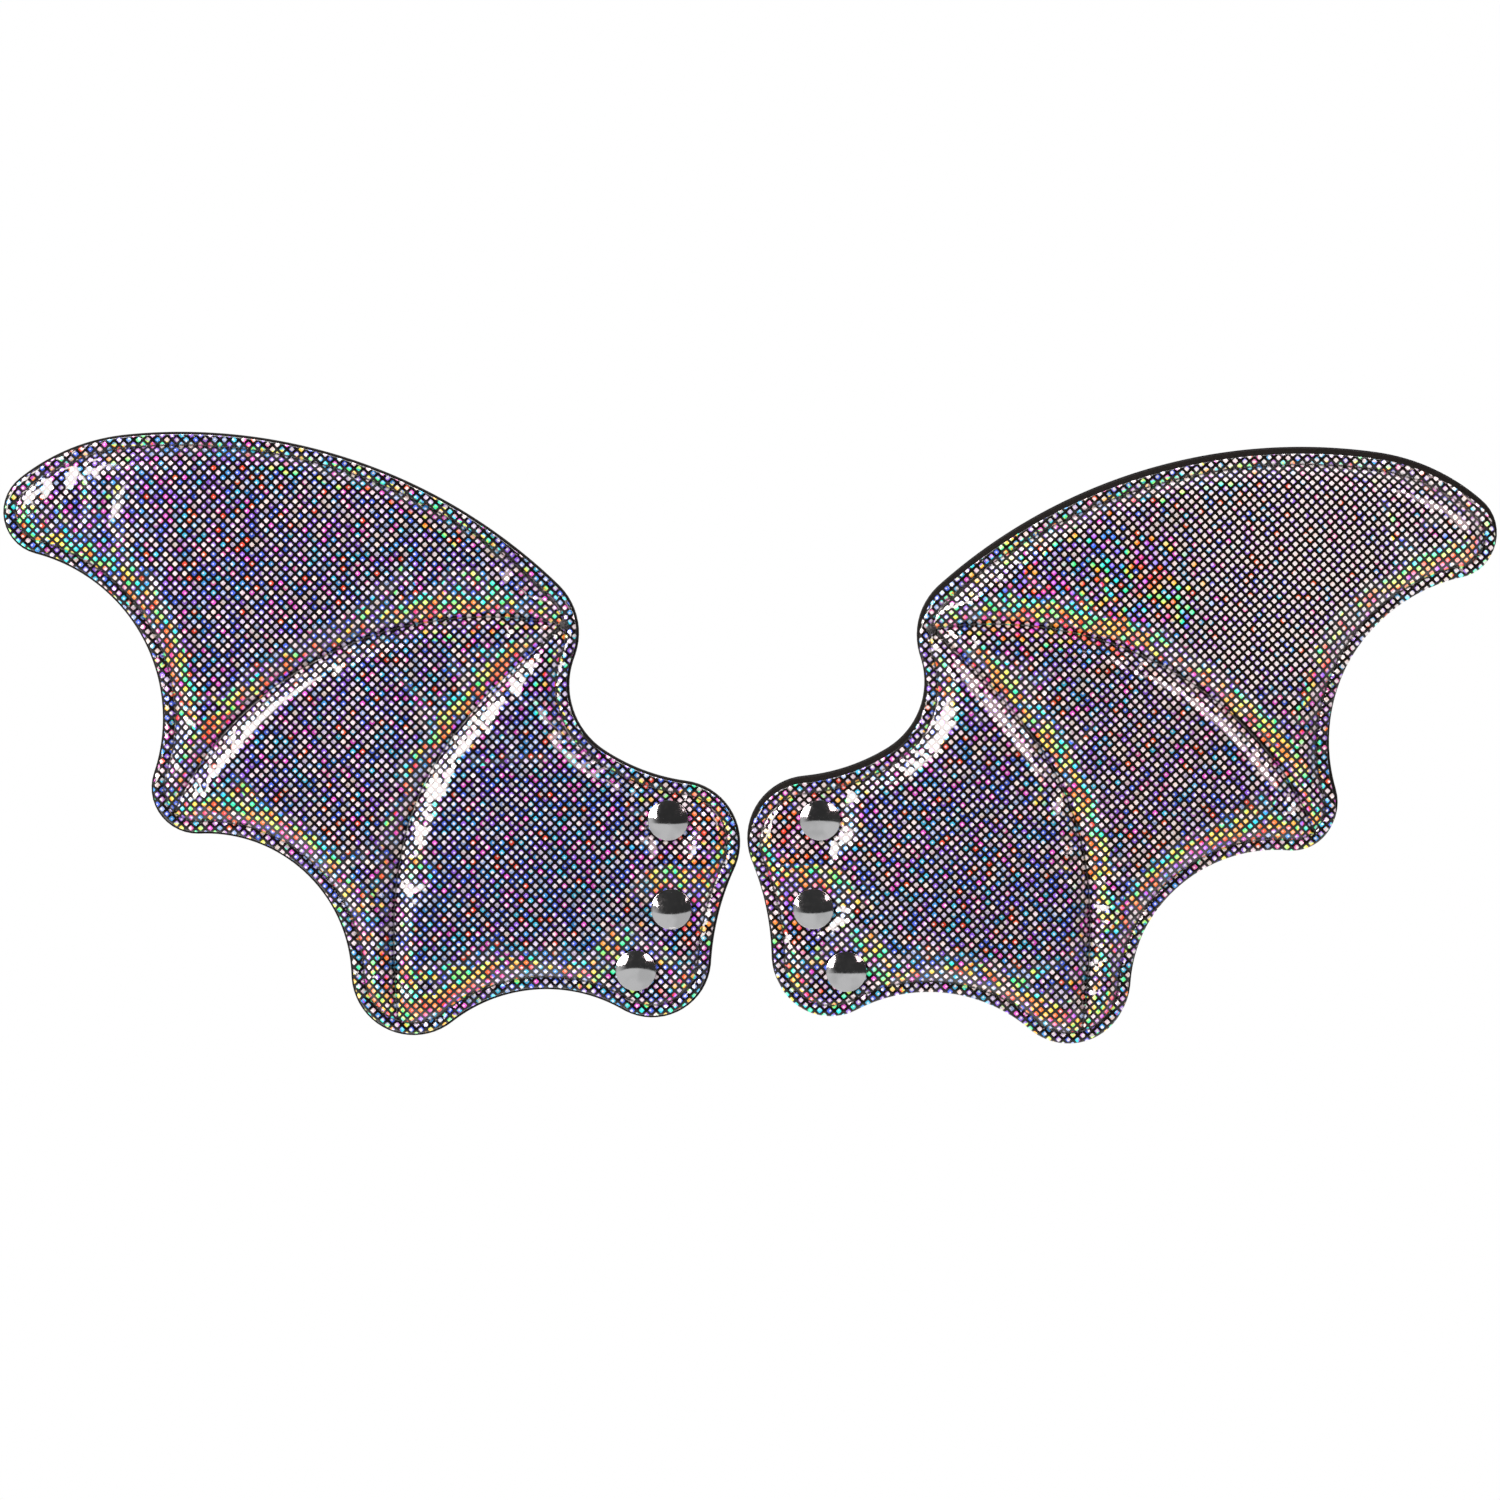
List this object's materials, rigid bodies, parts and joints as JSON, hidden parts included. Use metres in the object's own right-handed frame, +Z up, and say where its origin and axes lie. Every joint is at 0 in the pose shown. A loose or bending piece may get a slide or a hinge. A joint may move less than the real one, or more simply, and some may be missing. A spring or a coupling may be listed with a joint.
{
  "type": "pair of clip-on costume wings",
  "caption": "Mirrored pair of padded bat-style wings in holographic mesh-print film, each with a snap-closed rear flap that clips over laces.",
  "frame": {"origin": "centre of the box round the pair as it lies, wings side by side", "axes": "+X from the left wing towards the right wing as seen from the front, -Y out of the decorated front, +Z up"},
  "size_m": [0.4617, 0.0142, 0.1885],
  "materials": {
    "film": "holographic silver film with a black diagonal mesh print, glossy",
    "foam": "black closed-cell foam, matt",
    "backing": "black faux leather, fine grain, satin",
    "thread": "black polyester sewing thread",
    "polished_metal": "polished nickel-chrome plate",
    "plain_metal": "plain nickel plate"
  },
  "bodies": {
    "left_root": {"left_front_skin_root": "film", "left_foam_root": "foam", "left_back_skin_root": "backing", "left_edge_thread_root": "thread", "left_flap_anchor": "backing", "left_anchor_thread": "thread", "left_snap_caps": "polished_metal", "left_snap_sockets": "plain_metal", "left_socket_springs": "plain_metal"},
    "left_wing": {"left_front_skin_wing": "film", "left_foam_wing": "foam", "left_back_skin_wing": "backing", "left_edge_thread_wing": "thread", "left_outer_finger_thread": "thread", "left_inner_finger_thread": "thread", "left_seam_knot": "thread"},
    "left_flap": {"left_flap": "backing", "left_flap_thread": "thread", "left_snap_studs": "plain_metal", "left_stud_eyelets": "plain_metal"},
    "right_root": {"right_front_skin_root": "film", "right_foam_root": "foam", "right_back_skin_root": "backing", "right_edge_thread_root": "thread", "right_flap_anchor": "backing", "right_anchor_thread": "thread", "right_snap_caps": "polished_metal", "right_snap_sockets": "plain_metal", "right_socket_springs": "plain_metal"},
    "right_wing": {"right_front_skin_wing": "film", "right_foam_wing": "foam", "right_back_skin_wing": "backing", "right_edge_thread_wing": "thread", "right_outer_finger_thread": "thread", "right_inner_finger_thread": "thread", "right_seam_knot": "thread"},
    "right_flap": {"right_flap": "backing", "right_flap_thread": "thread", "right_snap_studs": "plain_metal", "right_stud_eyelets": "plain_metal"}
  },
  "joints": [
    {"name": "left_flap_hinge", "type": "hinge", "parent": "left_root", "child": "left_flap", "pos_m": [-0.05735, 0.00105, -0.03822], "axis": [0.225, 0, 0.9744], "range_deg": [0, 110], "stiffness_Nm_per_rad": 0.01},
    {"name": "left_wing_flex", "type": "hinge", "parent": "left_root", "child": "left_wing", "pos_m": [-0.06758, -0.0036, -0.03586], "axis": [-0.225, 0, -0.9744], "range_deg": [-30, 30], "stiffness_Nm_per_rad": 0.15},
    {"name": "right_flap_hinge", "type": "hinge", "parent": "right_root", "child": "right_flap", "pos_m": [0.05313, 0.00105, -0.03948], "axis": [0.1857, 0, -0.9826], "range_deg": [0, 110], "stiffness_Nm_per_rad": 0.01},
    {"name": "right_wing_flex", "type": "hinge", "parent": "right_root", "child": "right_wing", "pos_m": [0.06344, -0.0036, -0.03753], "axis": [-0.1857, 0, 0.9826], "range_deg": [-30, 30], "stiffness_Nm_per_rad": 0.15},
    {"name": "pair_spread", "type": "slide", "parent": "left_root", "child": "right_root", "axis": [1, 0, 0], "range_m": [0, 0.25]}
  ]
}
